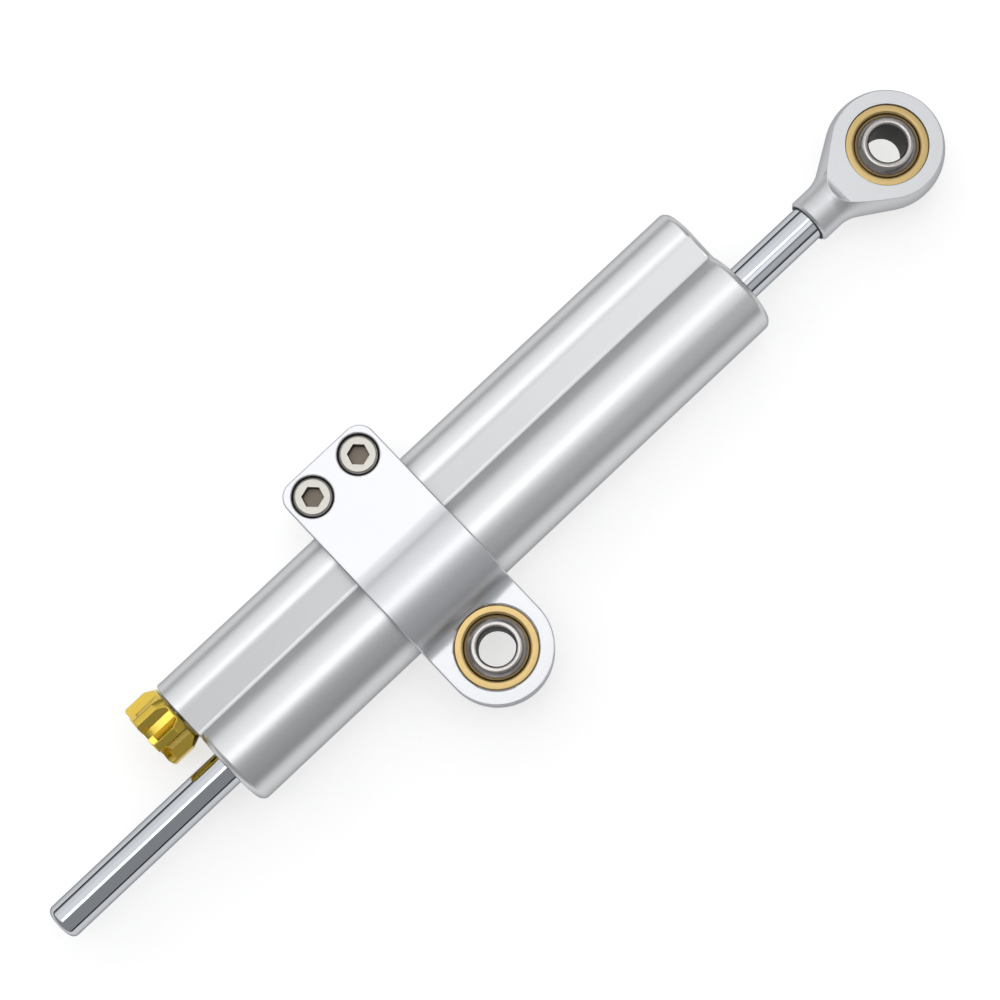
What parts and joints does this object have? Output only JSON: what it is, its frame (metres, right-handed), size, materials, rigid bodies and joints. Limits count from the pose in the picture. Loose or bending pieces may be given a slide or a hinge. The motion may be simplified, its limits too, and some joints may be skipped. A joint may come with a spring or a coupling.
{
  "type": "motorcycle steering damper",
  "caption": "Linear steering damper with a twin-tube body, a through rod with a ball-jointed eye, an adjustable clamp with a ball-jointed eye and a fluted damping knob.",
  "frame": {"origin": "centre of the clamp eye's ball", "axes": "+Z along the clamp eye's bolt, towards the screw heads; +X along the rod, towards the rod eye; +Y from the clamp eye across the body, towards the clamp's ears"},
  "size_m": [0.2486, 0.0656, 0.0248],
  "materials": {
    "body_aluminium": "satin clear-anodised",
    "clamp_aluminium": "satin clear-anodised",
    "eye_aluminium": "satin clear-anodised",
    "rod_chrome": "ground and polished",
    "race_brass": "machined",
    "ball_steel": "ground bearing steel",
    "screw_steel": "bright zinc",
    "knob_gold": "gold-anodised",
    "guide_bronze": "machined bearing bronze",
    "seal_rubber": "moulded nitrile",
    "clip_steel": "phosphated spring steel",
    "valve_brass": "machined",
    "valve_steel": "turned",
    "piston_aluminium": "machined",
    "band_plastic": "bronze-filled"
  },
  "bodies": {
    "body": {"damper_body": "body_aluminium", "rod_guide_left": "guide_bronze", "rod_guide_right": "guide_bronze", "guide_o_ring_left": "seal_rubber", "guide_o_ring_right": "seal_rubber", "rod_seal_left": "seal_rubber", "rod_seal_right": "seal_rubber", "rod_wiper_left": "seal_rubber", "rod_wiper_right": "seal_rubber", "circlip_left": "clip_steel", "circlip_right": "clip_steel", "valve_cartridge": "valve_brass", "cartridge_o_rings": "seal_rubber", "tube_end_plug": "piston_aluminium", "end_plug_o_ring": "seal_rubber"},
    "band": {"piston_band": "band_plastic"},
    "rod": {"piston_rod": "rod_chrome", "piston": "piston_aluminium", "piston_clips": "clip_steel", "rod_eye": "eye_aluminium", "rod_eye_race": "race_brass"},
    "rod_ball": {"rod_eye_ball": "ball_steel"},
    "clamp": {"clamp": "clamp_aluminium", "clamp_screws": "screw_steel", "clamp_eye_race": "race_brass"},
    "clamp_ball": {"clamp_eye_ball": "ball_steel"},
    "knob": {"adjuster_knob": "knob_gold", "knob_screw": "screw_steel", "adjuster_spindle": "valve_steel", "spindle_o_ring": "seal_rubber"},
    "needle": {"needle": "valve_steel"}
  },
  "joints": [
    {"name": "rod_slide", "type": "slide", "parent": "body", "child": "band", "axis": [1, 0, 0], "range_m": [-0.019, 0.0435]},
    {"name": "rod_spin", "type": "hinge", "parent": "band", "child": "rod", "pos_m": [0.02, 0.0204, 0], "axis": [1, 0, 0], "continuous": true},
    {"name": "rod_ball_turn", "type": "hinge", "parent": "rod", "child": "rod_ball", "pos_m": [0.1319, 0.0204, 0], "axis": [0, 0, 1], "continuous": true},
    {"name": "clamp_slide", "type": "slide", "parent": "body", "child": "clamp", "axis": [1, 0, 0], "range_m": [-0.043, 0.075]},
    {"name": "clamp_ball_turn", "type": "hinge", "parent": "clamp", "child": "clamp_ball", "pos_m": [0, 0, 0], "axis": [0, 0, 1], "continuous": true},
    {"name": "knob_turn", "type": "hinge", "parent": "body", "child": "knob", "pos_m": [-0.0606, 0.0359, 0], "axis": [1, 0, 0], "range_deg": [-450, 450]},
    {"name": "needle_travel", "type": "slide", "parent": "knob", "child": "needle", "axis": [1, 0, 0], "range_m": [-0.001, 0.001]}
  ],
  "couplings": [
    {"joint": "needle_travel", "follows": "knob_turn", "m_per_rad": 0.0001273}
  ]
}
